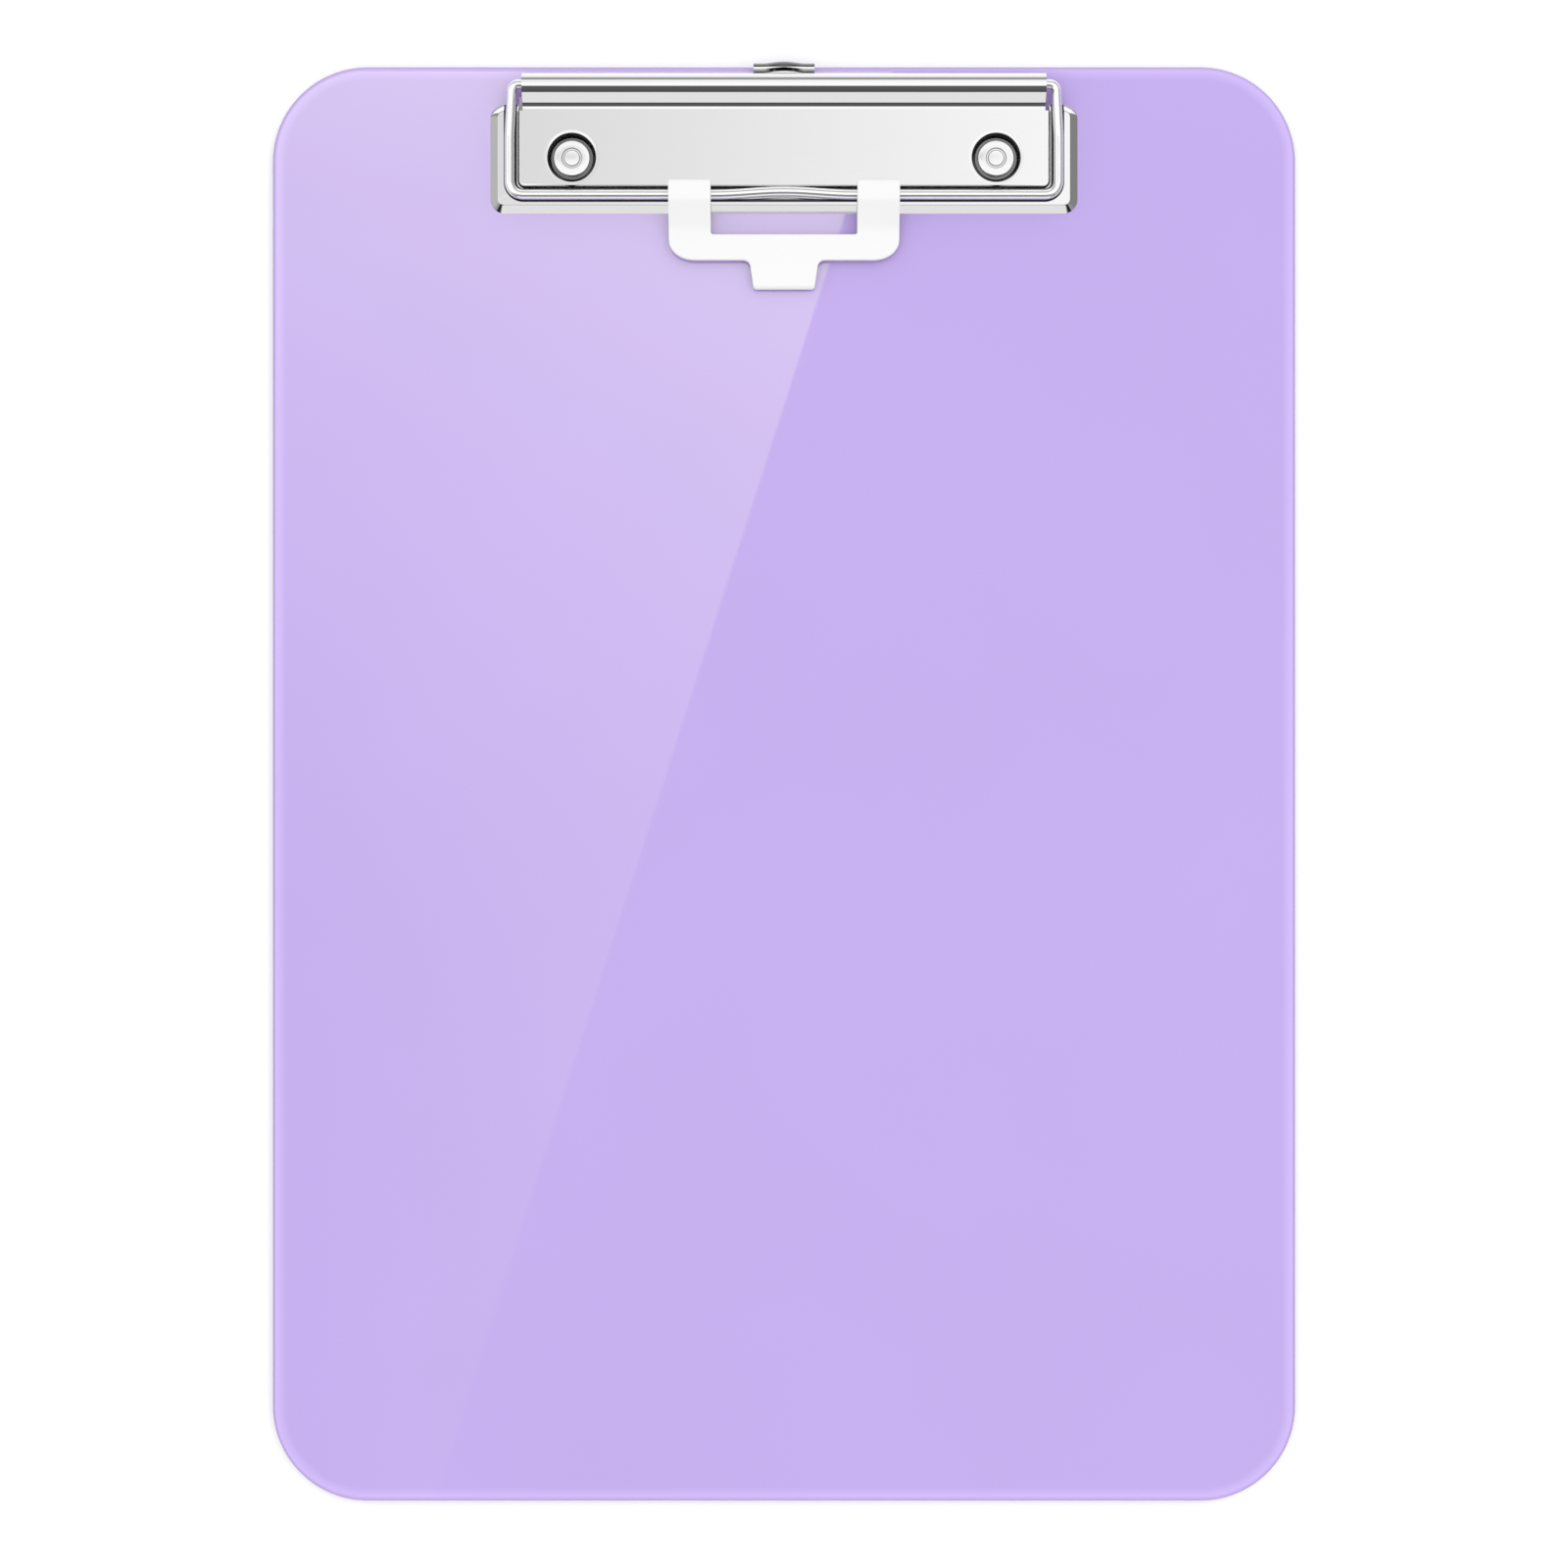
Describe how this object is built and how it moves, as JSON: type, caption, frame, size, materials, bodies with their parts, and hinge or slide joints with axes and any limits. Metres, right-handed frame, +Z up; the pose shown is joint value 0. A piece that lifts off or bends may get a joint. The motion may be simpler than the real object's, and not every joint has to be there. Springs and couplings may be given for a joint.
{
  "type": "clipboard",
  "caption": "Letter-size plastic clipboard with rounded corners, a low-profile wire-bail clip on a riveted steel plate, a white pull tab and a slide-out hanging tab.",
  "frame": {"origin": "middle of the flat underside of the board, under its centre", "axes": "+X to the right when the writing face is read with the clip at the top, +Y along the length towards the clip end, +Z up out of the writing face"},
  "size_m": [0.2286, 0.321, 0.0086],
  "materials": {
    "board_plastic": "glossy opaque lavender plastic",
    "plated_sheet": "nickel-plated pressed steel sheet, polished",
    "plated_wire": "bright chrome-plated spring wire",
    "tab_plastic": "satin white moulded plastic",
    "rivet_metal": "nickel-plated steel"
  },
  "bodies": {
    "base": {"board": "board_plastic", "base_plate": "plated_sheet", "rivet_left": "rivet_metal", "rivet_right": "rivet_metal", "rivet_washer_left": "rivet_metal", "rivet_washer_right": "rivet_metal"},
    "bail": {"wire_bail": "plated_wire"},
    "tab": {"pull_tab": "tab_plastic"},
    "hanger": {"hanging_tab": "plated_sheet"}
  },
  "joints": [
    {"name": "bail_hinge", "type": "hinge", "parent": "base", "child": "bail", "pos_m": [0, 0.15535, 0.0062], "axis": [-1, 0, 0], "range_deg": [0, 95], "stiffness_Nm_per_rad": 0.12, "springref_deg": -57.3},
    {"name": "pull_tab_swing", "type": "hinge", "parent": "bail", "child": "tab", "pos_m": [0, 0.131, 0.0059], "axis": [-1, 0, 0], "range_deg": [0, 25]},
    {"name": "hanger_slide", "type": "slide", "parent": "base", "child": "hanger", "axis": [0, 1, 0], "range_m": [0, 0.012]}
  ]
}
